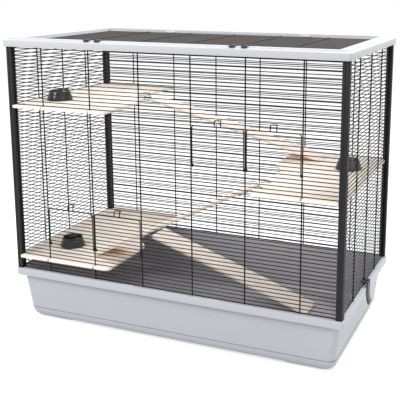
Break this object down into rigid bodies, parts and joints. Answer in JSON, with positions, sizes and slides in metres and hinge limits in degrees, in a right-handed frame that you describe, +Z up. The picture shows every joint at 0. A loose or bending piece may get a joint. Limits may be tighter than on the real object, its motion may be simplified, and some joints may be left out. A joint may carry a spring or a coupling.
{
  "type": "wire cage for small pets",
  "caption": "Tall wire cage on a deep plastic tray, with drop-down doors, a hinged wire roof, wooden shelves joined by ramps, and feeding bowls.",
  "frame": {"origin": "on the floor, under the middle of the tray", "axes": "+X along the length to the right, +Y to the back, away from the doors, +Z up"},
  "size_m": [1.0178, 0.536, 0.8407],
  "materials": {
    "tray_plastic": "satin moulded plastic",
    "frame_plastic": "satin moulded plastic",
    "post_plastic": "ribbed extrusion",
    "black_wire": "black coated welded wire",
    "clip_plastic": "satin",
    "board": "bare smooth board",
    "bowl_plastic": "glossy moulded plastic",
    "hook_wire": "zinc plated"
  },
  "bodies": {
    "tray": {"base_tray": "tray_plastic"},
    "cage": {"corner_post_front_left": "post_plastic", "corner_post_front_right": "post_plastic", "corner_post_back_left": "post_plastic", "corner_post_back_right": "post_plastic", "wire_panel_front": "black_wire", "wire_panel_back": "black_wire", "wire_panel_left": "black_wire", "wire_panel_right": "black_wire", "top_frame": "frame_plastic", "shelf_upper": "board", "shelf_middle": "board", "shelf_lower": "board"},
    "door_lower_left": {"door_lower_left": "black_wire"},
    "door_lower_right": {"door_lower_right": "black_wire"},
    "door_upper_left": {"door_upper_left": "black_wire"},
    "door_upper_right": {"door_upper_right": "black_wire"},
    "roof": {"roof_grille": "black_wire"},
    "roof_clip_left": {"roof_clip_left": "clip_plastic"},
    "roof_clip_right": {"roof_clip_right": "clip_plastic"},
    "tray_clip_left": {"tray_clip_left": "clip_plastic"},
    "tray_clip_right": {"tray_clip_right": "clip_plastic"},
    "ramp_upper": {"ramp_upper": "board", "ramp_hook_upper": "hook_wire"},
    "ramp_middle": {"ramp_middle": "board", "ramp_hook_middle": "hook_wire"},
    "ramp_lower": {"ramp_lower": "board", "ramp_hook_lower": "hook_wire"},
    "bowl_upper": {"bowl_upper": "bowl_plastic"},
    "bowl_middle": {"bowl_middle": "bowl_plastic"},
    "bowl_lower": {"bowl_lower": "bowl_plastic"}
  },
  "joints": [
    {"name": "cage_lift", "type": "slide", "parent": "tray", "child": "cage", "axis": [0, 0, 1], "range_m": [0, 0.2]},
    {"name": "door_lower_left_hinge", "type": "hinge", "parent": "cage", "child": "door_lower_left", "pos_m": [-0.3056, -0.251, 0.245], "axis": [1, 0, 0], "range_deg": [0, 140]},
    {"name": "door_lower_right_hinge", "type": "hinge", "parent": "cage", "child": "door_lower_right", "pos_m": [-0.1528, -0.251, 0.245], "axis": [1, 0, 0], "range_deg": [0, 140]},
    {"name": "door_upper_left_hinge", "type": "hinge", "parent": "cage", "child": "door_upper_left", "pos_m": [0.1528, -0.251, 0.5219], "axis": [1, 0, 0], "range_deg": [0, 140]},
    {"name": "door_upper_right_hinge", "type": "hinge", "parent": "cage", "child": "door_upper_right", "pos_m": [0.3056, -0.251, 0.5219], "axis": [1, 0, 0], "range_deg": [0, 140]},
    {"name": "roof_hinge", "type": "hinge", "parent": "cage", "child": "roof", "pos_m": [0, 0.2315, 0.8256], "axis": [-1, 0, 0], "range_deg": [0, 98]},
    {"name": "roof_clip_left_hinge", "type": "hinge", "parent": "roof", "child": "roof_clip_left", "pos_m": [-0.212, -0.2315, 0.8256], "axis": [-1, 0, 0], "range_deg": [0, 90]},
    {"name": "roof_clip_right_hinge", "type": "hinge", "parent": "roof", "child": "roof_clip_right", "pos_m": [0.212, -0.2315, 0.8256], "axis": [-1, 0, 0], "range_deg": [0, 90]},
    {"name": "tray_clip_left_hinge", "type": "hinge", "parent": "cage", "child": "tray_clip_left", "pos_m": [-0.487, 0, 0.17045], "axis": [0, 1, 0], "range_deg": [0, 70]},
    {"name": "tray_clip_right_hinge", "type": "hinge", "parent": "cage", "child": "tray_clip_right", "pos_m": [0.487, 0, 0.17045], "axis": [0, -1, 0], "range_deg": [0, 70]},
    {"name": "ramp_upper_hinge", "type": "hinge", "parent": "cage", "child": "ramp_upper", "pos_m": [-0.24581, 0.05731, 0.65015], "axis": [0.2006, -0.9797, 0], "range_deg": [0, 30]},
    {"name": "ramp_middle_hinge", "type": "hinge", "parent": "cage", "child": "ramp_middle", "pos_m": [0.26024, -0.1759, 0.4691], "axis": [0.0513, 0.9987, 0], "range_deg": [0, 40]},
    {"name": "ramp_lower_hinge", "type": "hinge", "parent": "cage", "child": "ramp_lower", "pos_m": [-0.2517, 0.089, 0.20285], "axis": [0, -1, 0], "range_deg": [0, 40]},
    {"name": "bowl_upper_lift", "type": "slide", "parent": "cage", "child": "bowl_upper", "axis": [0, 0, 1], "range_m": [0, 0.06]},
    {"name": "bowl_middle_lift", "type": "slide", "parent": "cage", "child": "bowl_middle", "axis": [0, 0, 1], "range_m": [0, 0.06]},
    {"name": "bowl_lower_lift", "type": "slide", "parent": "cage", "child": "bowl_lower", "axis": [0, 0, 1], "range_m": [0, 0.06]}
  ]
}
